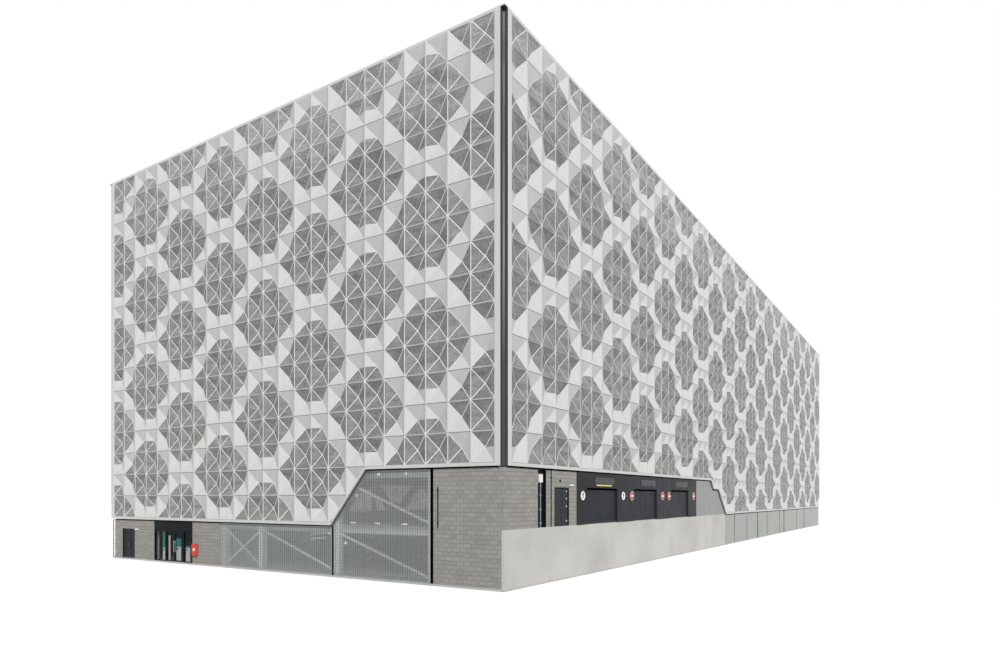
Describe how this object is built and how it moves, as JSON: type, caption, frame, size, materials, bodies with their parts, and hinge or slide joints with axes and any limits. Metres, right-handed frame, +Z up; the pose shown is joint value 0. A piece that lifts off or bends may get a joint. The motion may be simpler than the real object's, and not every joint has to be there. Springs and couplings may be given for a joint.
{
  "type": "multi storey car park, 1:10 scale model",
  "caption": "Multi storey car park, 1:10 scale model: parking decks on columns behind screens of folded metal panels, with vehicle portal, mesh screens, glazed lobby and hinged doors.",
  "frame": {"origin": "middle of the plan at the lowest ground level", "axes": "+Z up, the long vehicle entrance side towards -Y, the short side with the glazed lobby towards -X"},
  "size_m": [8.9908, 3.4428, 2.706],
  "materials": {
    "concrete": "power-floated concrete deck",
    "pale_concrete": "pale cast concrete",
    "blockwork": "fair-faced concrete blockwork",
    "folded_metal": "silver coated folded sheet, partly perforated",
    "white_trim": "pale coated flashing",
    "dark_metal": "anthracite coating",
    "shutter_metal": "anthracite slats",
    "door_steel": "dark satin coating",
    "galvanised_steel": "hot-dip galvanised",
    "pale_metal": "pale grey coating",
    "pale_panel": "pale grey-green composite panel",
    "lobby_glazing": "green-tinted glazing",
    "red_paint": "red gloss coating"
  },
  "bodies": {
    "building": {"ground_slab": "concrete", "entrance_deck": "concrete", "parking_decks": "concrete", "roof_deck": "concrete", "entrance_sill": "pale_concrete", "perimeter_columns": "galvanised_steel", "middle_posts": "concrete", "core_cross_walls": "blockwork", "core_side_walls": "blockwork", "head_house_roofs": "concrete", "edge_beams": "galvanised_steel", "wind_braces": "galvanised_steel", "south_cladding": "folded_metal", "west_cladding": "folded_metal", "north_cladding": "folded_metal", "east_cladding": "folded_metal", "south_lower_cladding": "folded_metal", "west_lower_cladding": "folded_metal", "lower_edge_trims": "white_trim", "corner_trims": "white_trim", "copings": "white_trim", "corner_channels": "dark_metal", "south_blockwork": "blockwork", "door_lintels": "blockwork", "recess_panel": "dark_metal", "rainwater_pipe": "pale_metal", "portal_lintel": "dark_metal", "portal_piers": "dark_metal", "roller_shutters": "shutter_metal", "pale_panels": "pale_panel", "retaining_wall": "pale_concrete", "plinth_panels": "pale_panel", "west_blockwork": "blockwork", "mesh_screens": "galvanised_steel", "rear_blockwork": "blockwork", "rear_mesh_screens": "galvanised_steel", "lobby_posts": "dark_metal", "lobby_fascia": "dark_metal", "lobby_rails": "dark_metal", "lobby_glass": "lobby_glazing", "door_frames": "dark_metal", "wall_cabinet": "red_paint"},
    "south_door_left": {"south_door_left": "door_steel"},
    "south_door_right": {"south_door_right": "door_steel"},
    "louvred_door_left": {"louvred_door_left": "door_steel"},
    "louvred_door_right": {"louvred_door_right": "door_steel"},
    "lobby_door_left": {"lobby_door_left": "dark_metal", "lobby_door_left_pane": "lobby_glazing"},
    "lobby_door_right": {"lobby_door_right": "dark_metal", "lobby_door_right_pane": "lobby_glazing"}
  },
  "joints": [
    {"name": "south_door_left_hinge", "type": "hinge", "parent": "building", "child": "south_door_left", "pos_m": [-4.00729, -1.7039, 0.285], "axis": [0, 0, -1], "range_deg": [0, 90]},
    {"name": "south_door_right_hinge", "type": "hinge", "parent": "building", "child": "south_door_right", "pos_m": [-3.85839, -1.7039, 0.285], "axis": [0, 0, 1], "range_deg": [0, 90]},
    {"name": "louvred_door_left_hinge", "type": "hinge", "parent": "building", "child": "louvred_door_left", "pos_m": [-4.4779, 1.56895, 0.01], "axis": [0, 0, -1], "range_deg": [0, 90]},
    {"name": "louvred_door_right_hinge", "type": "hinge", "parent": "building", "child": "louvred_door_right", "pos_m": [-4.4779, 1.42004, 0.01], "axis": [0, 0, 1], "range_deg": [0, 90]},
    {"name": "lobby_door_left_hinge", "type": "hinge", "parent": "building", "child": "lobby_door_left", "pos_m": [-4.4784, 1.02885, 0.01], "axis": [0, 0, -1], "range_deg": [0, 90]},
    {"name": "lobby_door_right_hinge", "type": "hinge", "parent": "building", "child": "lobby_door_right", "pos_m": [-4.4784, 0.83666, 0.01], "axis": [0, 0, 1], "range_deg": [0, 90]}
  ]
}
